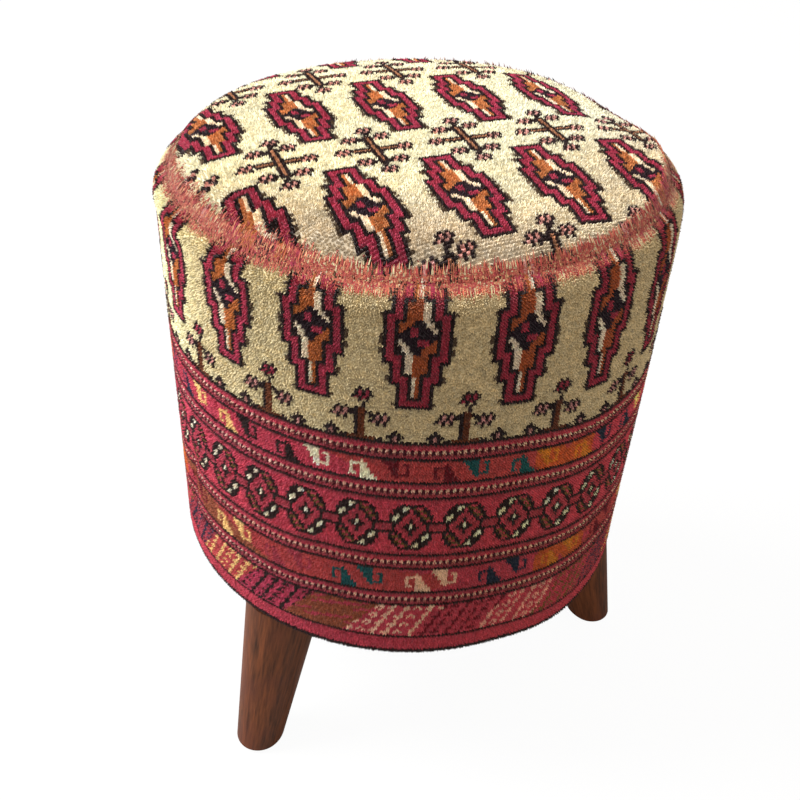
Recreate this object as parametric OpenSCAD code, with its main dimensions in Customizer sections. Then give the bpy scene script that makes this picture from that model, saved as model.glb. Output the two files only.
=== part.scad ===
// Round footstool in pile rug on three splayed legs, built as an upholsterer builds it: a carcass of
// two boards, three posts and a bent hoop, padded, covered with a rug disc and a rug strip, tacked under.
// Frame: Z up, floor at Z = 0, origin where the axis of the round body meets the floor. The visitor
// stands at -Y; the strip of rug is closed by a seam at the back, at +Y.

/* [Stool] */
// Height of the crown of the seat above the floor
seat_h = 450; // [400:1:520]
// Diameter of the body at its lower edge
body_d = 342; // [310:1:400]
// How much narrower the body is across the shoulder than across the lower edge
body_taper = 4; // [0:0.5:10]
// Height of the legs, from the floor to the underside of the body
leg_h = 139; // [110:1:180]

/* [Rug cover] */
// Thickness of the rug, from its back to the tips of its pile
rug_t = 7; // [5:0.5:9]
// Rise of the crowned top panel above the seam round the rim
crown_rise = 19; // [17:1:30]
// Squareness of the crown: 2 is an ellipse, more is flatter with a tighter rim
crown_power = 3.3; // [2.4:0.1:4.5]
// How far the rim of the top panel stands in from the side of the body
rim_inset = 14; // [12:0.5:16]
// Radius of the lower edge of the rim of the top panel
rim_lip_r = 3; // [1:0.5:4]
// Width of the rug that is turned under the body
hem_w = 45; // [38:1:60]
// Radius of the lower outer edge, where the rug turns under
hem_edge_r = 4; // [2:0.5:5]
// Width of the slit where the two ends of the strip meet at the back
back_slit = 0.6; // [0.4:0.1:1.5]

/* [Padding] */
// Thickness of the foam under the seat, at the middle
seat_foam_t = 46; // [30:1:60]
// Thickness of the wadding between the foam and the top panel
seat_wadding_t = 6; // [3:0.5:8]
// Thickness of the wadding round the hoop, at the shoulder
side_wadding_t = 7; // [4:0.5:9]

/* [Carcass] */
// Thickness of the plywood base board
base_board_t = 18; // [15:1:24]
// Thickness of the plywood board under the foam
top_board_t = 12; // [9:1:18]
// Thickness of the bent hardboard hoop
hoop_t = 3.2; // [2.5:0.1:4]
// Width of the slit where the two ends of the hoop meet
hoop_slit = 1; // [0.5:0.1:3]
// Width of each square post
post_w = 32; // [28:1:40]
// Bevel along the long edges of each post
post_bevel = 2; // [1:0.5:4]

/* [Legs] */
// Distance from the lower edge of the body in to the middle of a leg's top
leg_inset = 30; // [29:0.5:40]
// How far a foot stands further out than the top of its leg
leg_kick = 37; // [20:1:45]
// Diameter of a leg at its top
leg_top_d = 57; // [50:1:58]
// Diameter of a leg at the floor
foot_d = 35.5; // [30:0.5:44]
// Radius that softens the edge of each foot
foot_edge_r = 4; // [2:0.5:5]
// Direction of the front left leg, turned from +X
leg_turn = 235; // [220:0.5:250]
// Angle between the front left leg and the right leg
front_leg_spread = 125; // [115:0.5:130]

/* [Leg bolts] */
// Thread diameter of the bolt in the top of each leg
bolt_d = 8; // [6:1:8]
// Depth of that bolt in the leg
bolt_depth = 32; // [25:1:40]
// How far each bolt stands inboard of the middle of the leg's top
bolt_inboard = 4; // [2:0.5:8]
// Depth of the thread on the bolt
thread_depth = 0.5; // [0.3:0.1:0.7]
// How far each bolt stands out of its nut
bolt_proud = 3; // [1:0.5:6]
// Diameter of the barrel of each nut
nut_barrel_d = 10.5; // [10:0.1:12]
// Length of the barrel of each nut
nut_barrel_l = 11; // [8:1:13]
// Diameter of the flange of each nut
nut_flange_d = 22; // [19:1:24]
// Thickness of the flange of each nut
nut_flange_t = 1.5; // [1:0.1:2]
// Length of the prongs of each nut
nut_prong_l = 7; // [5:1:9]

/* [Screws, pins, tacks and staples] */
// Length of the screws in the posts
screw_l = 50; // [40:1:60]
// Shank diameter of those screws
screw_d = 4.5; // [4:0.1:5]
// Head diameter of those screws
screw_head_d = 9; // [8:0.1:10]
// Distance between the two screws in each end of a post
screw_spacing = 16; // [13:0.5:18]
// Length of the pins that hold the hoop
pin_l = 20; // [15:1:25]
// Shank diameter of those pins
pin_d = 1.4; // [1:0.1:2]
// Head diameter of those pins
pin_head_d = 3; // [2.6:0.1:4]
// Pins in each row between one leg and the next
pins_each = 4; // [2:2:6]
// Shank length of the tacks that hold the hem
tack_l = 14; // [12:1:17]
// Shank diameter of the tacks, under the head
tack_d = 1.6; // [1.2:0.1:2]
// Head diameter of those tacks
tack_head_d = 8; // [6:0.5:9]
// Thickness of the head of each tack
tack_head_t = 0.8; // [0.5:0.1:1.2]
// Distance from the raw edge of the hem out to the tacks
tack_inset = 9; // [7:0.5:12]
// Tacks between one leg and the next
tacks_each = 8; // [4:2:10]
// Thickness of the cloth that closes the underside
dust_cover_t = 0.8; // [0.5:0.1:1.2]
// Distance from the lower edge of the body in to the edge of that cloth
dust_cover_inset = 13; // [10:1:16]
// Width of the staples that hold the cloth
staple_w = 10; // [8:1:12]
// Leg length of those staples
staple_l = 12; // [10:1:14]
// Wire thickness of those staples
staple_wire = 1; // [0.7:0.1:1.2]
// Distance from the edge of the cloth in to its staples
staple_inset = 14; // [12:1:16]
// Staples between one leg and the next
staples_each = 6; // [4:2:6]

/* [Seams] */
// Diameter of the sewing thread
thread_d = 1.2; // [0.8:0.1:1.6]
// Length of each stitch through the rim seam
rim_stitch_l = 10; // [8:0.5:11]
// Distance between stitches round the rim
rim_stitch_pitch = 14; // [10:1:20]
// Length of each stitch across the back seam
back_stitch_l = 14; // [10:1:18]
// Distance between stitches up the back seam
back_stitch_pitch = 9; // [7:1:14]

/* [Clearances] */
// Space left between soft layers
soft_gap = 0.3; // [0.2:0.05:0.5]
// Space left between a fixing and its hole, and between the boards and the hoop
drill_gap = 0.1; // [0.05:0.05:0.2]

/* [Hidden] */
$fn = 64;

// Levels, from the floor up
z_hem = leg_h + dust_cover_t;
z_board = z_hem + rug_t + soft_gap;
z_board_top = z_board + base_board_t;
z_seam = seat_h - crown_rise;
z_seat = seat_h - rug_t - seat_wadding_t - 2 * soft_gap - seat_foam_t;
z_top_board = z_seat - top_board_t;

// Radii, from the side of the body in
body_r = body_d / 2;
shoulder_side_r = body_r - body_taper / 2;
hoop_out_r = shoulder_side_r - rug_t - side_wadding_t - 2 * soft_gap;
hoop_in_r = hoop_out_r - hoop_t;
board_r = hoop_in_r - drill_gap;
rug_edge_r = hoop_out_r + soft_gap;
shoulder_r = shoulder_side_r - rug_edge_r;
rim_r = shoulder_side_r - rim_inset;
z_rug_edge = z_seam - soft_gap;
z_shoulder = z_rug_edge - shoulder_r;
// Raw edge of the strip, turned in level with the inside of the top panel
flange_r = rim_r - rug_t;

// Points on the arcs and curves of the soft profiles
arc_steps = 8;
crown_steps = 18;
// Sweep over which the side wadding follows the shoulder
wadding_sweep = 40;

// Legs and what lies between them
leg_top_at = body_r - leg_inset;
foot_at = leg_top_at + leg_kick;
splay = atan(leg_kick / leg_h);
leg_l = norm([leg_kick, leg_h]);
leg_az = [leg_turn, leg_turn + front_leg_spread, leg_turn + front_leg_spread / 2 + 180, leg_turn + 360];
bolt_at = leg_top_at - bolt_inboard;
post_az = [for (i = [0 : 2]) (leg_az[i] + leg_az[i + 1]) / 2];
post_at = sqrt(board_r * board_r - post_w * post_w / 4) - post_w / 2 - drill_gap;
bolt_top = z_board_top + nut_flange_t + bolt_proud;
tack_at = body_r - hem_w + tack_inset;
staple_at = body_r - dust_cover_inset - staple_inset;
// Room between the top of a leg and the nearest staple
staple_room = 10;
// Angle that the staples keep clear on each side of a leg
staple_clear = asin((leg_top_d / 2 + staple_w / 2 + staple_room) / leg_top_at);
// Radius of the row of stitches, halfway across the rim of the top panel
rim_stitch_at = (rim_r + flange_r) / 2;

// How far a cut runs past the faces that it opens
over = 1;

// Outer radius of the straight side of the body at height z
function side_r(z) = body_r - (body_r - shoulder_side_r) * (z - z_hem) / (z_shoulder - z_hem);

// Points on an arc about c, from angle a0 to angle a1
function arc(c, r, a0, a1) =
    [for (i = [0 : arc_steps]) let (a = a0 + (a1 - a0) * i / arc_steps) c + r * [cos(a), sin(a)]];

// Crowned profile from the axis out to radius r, rising by h over the level z
function crown(r, h, z) =
    [for (i = [0 : crown_steps])
        let (a = 90 - 90 * i / crown_steps)
        [r * pow(cos(a), 2 / crown_power), z + h * pow(sin(a), 2 / crown_power)]];

function reversed(points) = [for (i = [len(points) - 1 : -1 : 0]) points[i]];

// Angles of n places spread evenly from one leg to the next, a clear angle away from both
function between_legs(n, clear) =
    [for (i = [0 : 2])
        for (j = [0 : n - 1])
            let (a = leg_az[i] + clear, b = leg_az[i + 1] - clear)
            a + (b - a) * (clear == 0 ? (j + 0.5) / n : j / (n - 1))];

module at_polar(az, r, z) {
    rotate([0, 0, az]) translate([r, 0, z]) children();
}

module disc(r, z0, z1) {
    translate([0, 0, z0]) cylinder(r = r, h = z1 - z0, $fn = 128);
}

// Countersunk wood screw with its head at the origin, pointing down; grown by g it is its own hole
module screw_shape(g) {
    head = screw_head_d / 2 + g;
    shank = screw_d / 2 + g;
    rotate_extrude()
        polygon([
            [0, g > 0 ? over : 0],
            [head, g > 0 ? over : 0],
            [head, 0],
            [shank, shank - head],
            [shank, -screw_l + screw_d],
            [0, -screw_l - g]
        ]);
}

module post_screws(g, up) {
    for (az = post_az) {
        for (s = [-1, 1]) {
            at_polar(az, post_at, up ? z_seat : z_board)
                translate([0, s * screw_spacing / 2, 0])
                    rotate([up ? 0 : 180, 0, 0]) screw_shape(g);
        }
    }
}

// Cross recess in the head of each screw
module screw_recesses(up) {
    recess = screw_d;
    slot = screw_d / 4;
    for (az = post_az) {
        for (s = [-1, 1]) {
            at_polar(az, post_at, up ? z_seat : z_board)
                translate([0, s * screw_spacing / 2, 0]) {
                    cube([recess, slot, slot * 3], center = true);
                    cube([slot, recess, slot * 3], center = true);
                }
        }
    }
}

// Pins through the hoop into the edges of both boards
module pin_shapes(g) {
    for (z = [z_board + base_board_t / 2, z_seat - top_board_t / 2]) {
        for (az = between_legs(pins_each, 0)) {
            at_polar(az, hoop_out_r, z) rotate([0, -90, 0]) {
                translate([0, 0, -g * over / drill_gap])
                    cylinder(d = pin_head_d + 2 * g, h = pin_d / 2 + g * over / drill_gap, $fn = 24);
                cylinder(d = pin_d + 2 * g, h = pin_l + g, $fn = 24);
            }
        }
    }
}

// Tacks with their heads sunk flush in the pile of the hem
module tack_shapes(g) {
    for (az = between_legs(tacks_each, 0)) {
        at_polar(az, tack_at, z_hem) {
            translate([0, 0, -g]) cylinder(d = tack_head_d + 2 * g, h = tack_head_t + 2 * g, $fn = 32);
            cylinder(d1 = tack_d + 2 * g, d2 = tack_d / 3 + 2 * g, h = tack_l + g, $fn = 24);
        }
    }
}

// Staples with their crowns against the cloth
module staple_shapes(g) {
    wire = staple_wire + 2 * g;
    for (az = between_legs(staples_each, staple_clear)) {
        at_polar(az, staple_at, leg_h) {
            translate([-wire / 2, -staple_w / 2 - g, -staple_wire - g])
                cube([wire, staple_w + 2 * g, staple_wire + g]);
            for (s = [-1, 1]) {
                translate([-wire / 2, s * (staple_w - staple_wire) / 2 - wire / 2, -staple_wire])
                    cube([wire, wire, staple_l + staple_wire + g]);
            }
        }
    }
}

// Bolt with a plain upper end for the nut and a pointed lower end for the leg
module bolt_shape(g) {
    r = bolt_d / 2 + g;
    neck = r - thread_depth;
    rotate_extrude($fn = 48)
        polygon([
            [0, leg_h - bolt_depth - g],
            [neck, leg_h - bolt_depth + bolt_d / 2],
            [neck, leg_h - over],
            [r, leg_h],
            [r, bolt_top + g],
            [0, bolt_top + g]
        ]);
}

module leg_bolts(g) {
    for (i = [0 : 2]) {
        at_polar(leg_az[i], bolt_at, 0) bolt_shape(g);
    }
}

// Pronged nut pressed into the top of the base board
module nut_shape(g) {
    prong_t = nut_flange_t;
    translate([0, 0, z_board_top - nut_barrel_l - g])
        cylinder(d = nut_barrel_d + 2 * g, h = nut_barrel_l + g + nut_flange_t, $fn = 48);
    translate([0, 0, z_board_top]) cylinder(d = nut_flange_d, h = nut_flange_t, $fn = 48);
    for (a = [0 : 90 : 270]) {
        rotate([0, 0, a])
            translate([nut_flange_d / 2 - 2 * prong_t - g, -prong_t - g, z_board_top - nut_prong_l - g])
                cube([prong_t + 2 * g, 2 * prong_t + 2 * g, nut_prong_l + nut_flange_t + g]);
    }
}

// Stitches through the rim of the top panel into the rolled edge of the strip
module rim_stitch_shapes(g) {
    n = floor(2 * PI * rim_stitch_at / rim_stitch_pitch);
    for (i = [0 : n - 1]) {
        at_polar((i + 0.5) * 360 / n + 90, rim_stitch_at, z_seam - rim_stitch_l / 2 - g)
            cylinder(d = thread_d + 2 * g, h = rim_stitch_l + 2 * g, $fn = 16);
    }
}

// Hidden stitches across the back seam, inside the thickness of the rug
module back_stitch_shapes(g) {
    z0 = z_board + back_stitch_pitch;
    n = floor((z_shoulder - z0) / back_stitch_pitch);
    for (i = [0 : n]) {
        z = z0 + i * back_stitch_pitch;
        at_polar(90, side_r(z) - rug_t / 2, z) rotate([90, 0, 0])
            cylinder(d = thread_d + 2 * g, h = back_stitch_l + 2 * g, center = true, $fn = 16);
    }
}

// Round pile-rug panel, crowned over the seat
module rug_top_panel() {
    lip = [rim_r - rim_lip_r, z_seam + rim_lip_r];
    color("#cfc79a")
        difference() {
            rotate_extrude($fn = 128)
                polygon(concat(
                    [for (p = crown(rim_r, crown_rise, z_seam)) if (p[1] > lip[1]) p],
                    arc(lip, rim_lip_r, 0, -90),
                    reversed(crown(flange_r, crown_rise - rug_t, z_seam))
                ));
            rim_stitch_shapes(drill_gap);
        }
}

// Strip of pile rug round the side, rolled in under the top panel and turned under the base
module rug_side_panel() {
    corner = [body_r - hem_edge_r, z_hem + hem_edge_r];
    shoulder = [rug_edge_r, z_shoulder];
    inner_corner = [side_r(z_hem + rug_t) - rug_t, z_hem + rug_t];
    color("#b5323f")
        difference() {
            rotate_extrude($fn = 128)
                polygon(concat(
                    [[body_r - hem_w, z_hem]],
                    arc(corner, hem_edge_r, -90, 0),
                    arc(shoulder, shoulder_r, 0, 90),
                    [[flange_r, z_rug_edge], [flange_r, z_rug_edge - rug_t]],
                    arc(shoulder, shoulder_r - rug_t, 90, 0),
                    [inner_corner, [body_r - hem_w, z_hem + rug_t]]
                ));
            translate([-back_slit / 2, 0, z_hem - over])
                cube([back_slit, body_r + over, z_seam - z_hem + 2 * over]);
            rim_stitch_shapes(drill_gap);
            back_stitch_shapes(drill_gap);
            tack_shapes(drill_gap);
            staple_shapes(drill_gap);
            leg_bolts(2 * drill_gap);
        }
}

module rim_seam_stitches() {
    color("#8c3b33") rim_stitch_shapes(0);
}

module back_seam_stitches() {
    color("#8c3b33") back_stitch_shapes(0);
}

module hem_tacks() {
    color("#4a4f57") tack_shapes(0);
}

// Cap of wadding over the foam, down to the top board, with a step that carries the edge of the strip
module seat_wadding() {
    rise = crown_rise - rug_t - soft_gap;
    pad_r = flange_r - soft_gap;
    inner_r = pad_r - seat_wadding_t;
    z_step = z_rug_edge - rug_t - soft_gap;
    color("#f1efe8")
        rotate_extrude($fn = 128)
            polygon(concat(
                crown(pad_r, rise, z_seam),
                [[pad_r, z_step], [hoop_out_r, z_step], [hoop_out_r, z_seat], [inner_r, z_seat]],
                reversed(crown(inner_r, rise - seat_wadding_t, z_seam))
            ));
}

// Foam pad with a crowned top
module seat_foam() {
    foam_r = flange_r - seat_wadding_t - 2 * soft_gap;
    rise = crown_rise - rug_t - seat_wadding_t - 2 * soft_gap;
    color("#f3e3a8")
        rotate_extrude($fn = 128)
            polygon(concat(
                crown(foam_r, rise, z_seam),
                [[foam_r, z_seat], [0, z_seat]]
            ));
}

// Sleeve of wadding between the hoop and the strip of rug
module side_wadding() {
    shoulder = [rug_edge_r, z_shoulder];
    sleeve_r = shoulder_r - rug_t - soft_gap;
    color("#e9e6dc")
        rotate_extrude($fn = 128)
            polygon(concat(
                [[rug_edge_r, z_board], [side_r(z_board) - rug_t - soft_gap, z_board]],
                arc(shoulder, sleeve_r, 0, wadding_sweep),
                [[rug_edge_r, z_shoulder + sleeve_r * sin(wadding_sweep)]]
            ));
}

// Plywood disc that carries the foam
module top_board() {
    color("#d9b98a")
        difference() {
            disc(board_r, z_top_board, z_seat);
            post_screws(drill_gap, true);
            pin_shapes(drill_gap);
        }
}

// Plywood disc that takes the legs, the posts and the hem
module base_board() {
    color("#d9b98a")
        difference() {
            disc(board_r, z_board, z_board_top);
            post_screws(drill_gap, false);
            pin_shapes(drill_gap);
            tack_shapes(drill_gap);
            staple_shapes(drill_gap);
            leg_bolts(drill_gap);
            for (i = [0 : 2]) {
                at_polar(leg_az[i], bolt_at, 0) nut_shape(drill_gap);
            }
        }
}

// Hardboard bent round both boards, with its ends meeting over a post
module hoop() {
    color("#8a5a3a")
        difference() {
            disc(hoop_out_r, z_board, z_seat);
            disc(hoop_in_r, z_board - over, z_seat + over);
            at_polar(post_az[1], 0, z_board - over)
                translate([0, -hoop_slit / 2, 0])
                    cube([hoop_out_r + over, hoop_slit, z_seat - z_board + 2 * over]);
            pin_shapes(drill_gap);
        }
}

module hoop_pins() {
    color("#9aa0a6") pin_shapes(0);
}

// Bevelled square post between the boards
module post(i) {
    half = post_w / 2;
    flat = half - post_bevel;
    color("#e0c08c")
        difference() {
            at_polar(post_az[i], post_at, z_board_top)
                linear_extrude(z_top_board - z_board_top)
                    polygon([
                        [half, flat], [flat, half], [-flat, half], [-half, flat],
                        [-half, -flat], [-flat, -half], [flat, -half], [half, -flat]
                    ]);
            post_screws(drill_gap, true);
            post_screws(drill_gap, false);
        }
}

module post_front() {
    post(0);
}

module post_back_right() {
    post(1);
}

module post_left() {
    post(2);
}

module post_screws_top() {
    color("#c9a23a")
        difference() {
            post_screws(0, true);
            screw_recesses(true);
        }
}

module post_screws_bottom() {
    color("#c9a23a")
        difference() {
            post_screws(0, false);
            screw_recesses(false);
        }
}

// Turned taper, tilted, cut level at the floor and under the body, with a softened foot edge
module leg(i) {
    edge_a = 40;
    sole_r = foot_d / 2 - foot_edge_r / cos(edge_a);
    edge_end = [sole_r + foot_edge_r * cos(edge_a), foot_edge_r * (1 - sin(edge_a))];
    slope = (leg_top_d - foot_d) / 2 / leg_l;
    spare = foot_d / 2;
    color("#5a3a2a")
        difference() {
            at_polar(leg_az[i], foot_at, 0)
                intersection() {
                    rotate([0, -splay, 0])
                        rotate_extrude()
                            polygon([
                                [0, -spare],
                                [foot_d / 2 - slope * spare, -spare],
                                [leg_top_d / 2 + slope * spare, leg_l + spare],
                                [0, leg_l + spare]
                            ]);
                    rotate_extrude()
                        polygon(concat(
                            [[0, 0]],
                            arc([sole_r, foot_edge_r], foot_edge_r, -90, -edge_a),
                            [[edge_end[0] + (leg_h - edge_end[1]) * tan(edge_a), leg_h], [0, leg_h]]
                        ));
                }
            at_polar(leg_az[i], bolt_at, 0) bolt_shape(drill_gap);
        }
}

module leg_front_left() {
    leg(0);
}

module leg_right() {
    leg(1);
}

module leg_back() {
    leg(2);
}

module leg_bolt(i) {
    color("#b9bec4") at_polar(leg_az[i], bolt_at, 0) bolt_shape(0);
}

module leg_bolt_front_left() {
    leg_bolt(0);
}

module leg_bolt_right() {
    leg_bolt(1);
}

module leg_bolt_back() {
    leg_bolt(2);
}

module leg_nut(i) {
    color("#b9bec4")
        difference() {
            at_polar(leg_az[i], bolt_at, 0) nut_shape(0);
            at_polar(leg_az[i], bolt_at, 0) bolt_shape(drill_gap);
        }
}

module leg_nut_front_left() {
    leg_nut(0);
}

module leg_nut_right() {
    leg_nut(1);
}

module leg_nut_back() {
    leg_nut(2);
}

// Black cloth that closes the underside, clamped under the legs
module dust_cover() {
    color("#26262a")
        difference() {
            disc(body_r - dust_cover_inset, leg_h, z_hem);
            leg_bolts(2 * drill_gap);
            staple_shapes(drill_gap);
        }
}

module dust_cover_staples() {
    color("#a9adb2") staple_shapes(0);
}

rug_top_panel();
rug_side_panel();
rim_seam_stitches();
back_seam_stitches();
hem_tacks();
seat_wadding();
seat_foam();
side_wadding();
top_board();
base_board();
hoop();
hoop_pins();
post_front();
post_back_right();
post_left();
post_screws_top();
post_screws_bottom();
leg_front_left();
leg_right();
leg_back();
leg_bolt_front_left();
leg_bolt_right();
leg_bolt_back();
leg_nut_front_left();
leg_nut_right();
leg_nut_back();
dust_cover();
dust_cover_staples();
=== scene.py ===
import math
from functools import partial

import bpy
import numpy as np
from bpy.props import FloatProperty, FloatVectorProperty, IntProperty, PointerProperty
from mathutils import Matrix, Vector


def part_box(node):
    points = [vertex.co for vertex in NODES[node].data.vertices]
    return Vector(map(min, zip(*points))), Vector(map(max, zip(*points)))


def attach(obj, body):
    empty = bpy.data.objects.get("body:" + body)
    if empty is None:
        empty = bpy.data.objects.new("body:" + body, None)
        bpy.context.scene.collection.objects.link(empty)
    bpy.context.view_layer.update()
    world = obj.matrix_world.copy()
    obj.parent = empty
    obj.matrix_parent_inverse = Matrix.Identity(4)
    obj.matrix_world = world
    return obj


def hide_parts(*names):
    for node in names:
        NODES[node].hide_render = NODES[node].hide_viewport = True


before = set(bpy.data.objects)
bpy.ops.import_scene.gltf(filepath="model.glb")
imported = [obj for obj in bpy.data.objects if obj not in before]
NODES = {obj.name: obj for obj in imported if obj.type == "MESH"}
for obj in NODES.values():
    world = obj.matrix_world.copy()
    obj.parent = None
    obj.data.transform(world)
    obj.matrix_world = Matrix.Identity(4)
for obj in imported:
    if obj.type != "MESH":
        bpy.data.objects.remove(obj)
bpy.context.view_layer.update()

bl_info = {
    "name": "Rug-covered pouf",
    "version": (1, 0, 0),
    "blender": (4, 5, 0),
    "location": "View3D > Sidebar > Pouf",
    "description": "Dresses the packed pouf: pile rug, shaggy rim, walnut legs and a plain studio",
    "category": "Object",
}

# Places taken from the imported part, in millimetres
MM = 1000
SIDE_BOX = [[MM * c for c in corner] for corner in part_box("rug_side_panel")]
TOP_BOX = [[MM * c for c in corner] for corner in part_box("rug_top_panel")]
HEM_Z = SIDE_BOX[0][2]
RIM_R = TOP_BOX[1][0]
RIM_Z = TOP_BOX[0][2]
CROWN_Z = TOP_BOX[1][2]
BODY_R = SIDE_BOX[1][0]
# The side rolls in at the shoulder: outer radius, height and radius of the roll
SHOULDER_R = 169.0
SHOULDER_Z = 416.4
ROLL = 14.3
# Azimuths of the middle of the front, of the seam at the back and of the dip in the rim, in degrees
FRONT = -90.0
SEAM_AT = 90.0
DIP_AT = 27.0
DIP_WIDTH = 20.0
PER_DEGREE = math.radians(1.0) * BODY_R
# Colours stay below this, as no wool is pure white
PALEST = 0.95
WHITE = (1.0, 1.0, 1.0, 1.0)


def linear(code):
    """Linear colour of an sRGB hex value."""
    parts = [int(code[i : i + 2], 16) / 255 for i in (1, 3, 5)]
    return tuple(c / 12.92 if c <= 0.04045 else ((c + 0.055) / 1.055) ** 2.4 for c in parts)


def dye(name, about, code):
    return FloatVectorProperty(
        name=name, description=about, subtype="COLOR", size=3, min=0.0, max=1.0, default=linear(code)
    )


def size(name, about, millimetres):
    return FloatProperty(
        name=name, description=about, subtype="DISTANCE", unit="LENGTH", default=millimetres / MM
    )


def angle(name, about, degrees):
    return FloatProperty(name=name, description=about, subtype="ANGLE", default=math.radians(degrees))


class YarnColours(bpy.types.PropertyGroup):
    """The dyed yarns of the rug."""

    cream: dye("Cream", "Ground of the field", "#DACBA2")
    ivory: dye("Ivory", "Undyed wool in the motifs", "#F0DEC4")
    outline: dye("Outline", "Brown-black outlines", "#281818")
    madder: dye("Madder", "Band inside the medallions", "#B43E58")
    crimson: dye("Crimson", "Ground of the borders", "#B84254")
    mauve: dye("Mauve", "Edges of the narrow guard bands", "#A03C4A")
    scarlet: dye("Scarlet", "Orange-red runs in the stripes", "#B24648")
    rust: dye("Rust", "Orange-brown lobes of the medallions", "#BA6E38")
    umber: dye("Umber", "Trunks of the small trees", "#6E3A22")
    olive: dye("Olive", "Olive-brown corners of the rosettes", "#6E502E")
    aubergine: dye("Aubergine", "Heart of each medallion", "#2A1A22")
    pink: dye("Pink", "Flowers and pale dots", "#D89A92")
    darkred: dye("Dark red", "Dark red hooks", "#6E1A26")
    teal: dye("Teal", "Blue-green hooks", "#1E5358")
    navy: dye("Navy", "Blue-black hooks", "#262B3E")
    taupe: dye("Taupe", "Teeth along the outlines", "#5C4A38")
    ember: dye("Ember", "Orange ground of the gold hooks", "#BC5632")
    bead: dye("Bead", "Pale dots of the guards", "#E2B6A2")
    rose: dye("Rose", "Softer dots of the guards", "#A85A5A")
    fawn: dye("Fawn", "Pale bar of the stars", "#AC7252")
    maroon: dye("Maroon", "Dark dots of the guard bands", "#4A1420")
    gold: dye("Gold", "Yellow-orange runs", "#C5762C")
    straw: dye("Straw", "Pale yellow motifs", "#E3BC7C")
    brown: dye("Brown", "Plain brown-orange zones", "#94503A")
    backing: dye("Backing", "Warp and weft at the back of the rug", "#A08A6C")


class RugSizes(bpy.types.PropertyGroup):
    """Sizes of the knots, the pile and the pattern."""

    columns: IntProperty(name="Knots round", description="Knots in one row round the side", default=512)
    row: size("Row", "Height of one row of knots", 2.0)
    pile: size("Pile", "Height of the pile above its knots", 1.4)
    strand: size("Strand", "Length of one cut strand", 1.7)
    strand_width: size("Strand width", "Width of one cut strand at its root", 1.6)
    lean: angle("Lean", "Lean of the pile towards the hem", 8.0)
    pitch: size("Medallion pitch", "Distance between medallions in a row", 59.5)
    rows_apart: size("Row distance", "Distance between rows of medallions on the top", 132.0)
    turn: angle("Turn of the top", "Angle of the rows on the top", 25.5)


class SeamSizes(bpy.types.PropertyGroup):
    """Sizes of the shaggy fibres in the rim seam."""

    fibres: IntProperty(name="Fibres", description="Fibres round the rim", default=32000)
    length: size("Length", "Length of a fibre", 4.6)
    width: size("Width", "Width of a fibre", 0.9)
    salmon: dye("Salmon", "Salmon wool in the seam", "#C86C58")
    rose: dye("Rose", "Dusty rose wool in the seam", "#AE4648")
    tip: dye("Tips", "Pale wool in the seam", "#DFA67C")


class WoodColours(bpy.types.PropertyGroup):
    """Stain of the legs."""

    light: dye("Light grain", "Stain on the early wood", "#703D20")
    dark: dye("Dark grain", "Stain in the late wood", "#301809")
    red: dye("Red cast", "Reddish patches low on the legs", "#5A2E20")
    grain: size("Grain", "Distance between two grain lines", 1.7)


class StudioSettings(bpy.types.PropertyGroup):
    """Light, floor and camera."""

    world: FloatProperty(name="World", description="Strength of the even light", default=0.72)
    key: FloatProperty(name="Key", description="Power of the lamp at the left in watts", default=130.0)
    fill: FloatProperty(name="Fill", description="Power of the lamp in front in watts", default=3.0)
    floor: FloatVectorProperty(
        name="Floor", description="Pale floor", subtype="COLOR", size=3, default=(0.45, 0.45, 0.45)
    )
    eye: FloatVectorProperty(
        name="Camera", description="Place of the camera", subtype="XYZ", size=3,
        default=(-0.00758, -0.58741, 0.67768),
    )
    tilt: angle("Tilt", "How far the camera looks down", 37.27)
    roll: angle("Roll", "Turn of the camera about its axis", 3.0)
    lens: FloatProperty(name="Lens", description="Focal length in millimetres", default=43.11)


# Small helpers for meshes and node trees
def feed(node, inputs):
    """Sets inputs by name or number, or links them to a socket or the first output of a node."""
    for key, value in inputs.items():
        if isinstance(key, str):
            socket = next(s for s in node.inputs if s.name == key and s.enabled)
        else:
            socket = node.inputs[key]
        if isinstance(value, bpy.types.Node):
            value = next(s for s in value.outputs if s.enabled)
        if isinstance(value, bpy.types.NodeSocket):
            node.id_data.links.new(value, socket)
        else:
            socket.default_value = value
    return node


def add_node(tree, kind, inputs=None, **settings):
    """Adds a node with its settings and feeds its inputs."""
    node = tree.nodes.new(kind)
    for name, value in settings.items():
        setattr(node, name, value)
    return feed(node, inputs or {})


def work_out(add, operation, first, second):
    """Adds a node that does one sum with two values."""
    return add("ShaderNodeMath", {0: first, 1: second}, operation=operation)


def drift(x, y, seed, waves=5):
    """Slow uneven change between -1 and 1 over x and y, as in hand-dyed yarn."""
    draw = np.random.default_rng(seed)
    total = np.zeros(np.broadcast(x, y).shape)
    for _ in range(waves):
        a, b = draw.normal(0.0, 1.0, 2)
        total = total + np.sin(a * x + b * y + draw.uniform(0.0, 2 * math.pi))
    return total / waves


def new_piece(name, mesh):
    piece = bpy.data.objects.new(name, mesh)
    bpy.context.scene.collection.objects.link(piece)
    return piece


def build_mesh(name, points, faces, smooth=True):
    """Mesh from points in millimetres."""
    mesh = bpy.data.meshes.new(name)
    mesh.from_pydata((np.asarray(points) / MM).tolist(), [], np.asarray(faces).tolist())
    mesh.polygons.foreach_set("use_smooth", np.full(len(mesh.polygons), smooth))
    mesh.update()
    return mesh


def ride_root(piece):
    """Puts a finished piece on the body of the pouf."""
    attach(piece, "root")
    return piece


# The pattern, tied knot by knot
YARN = {name: i for i, name in enumerate(YarnColours.__annotations__)}


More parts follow.
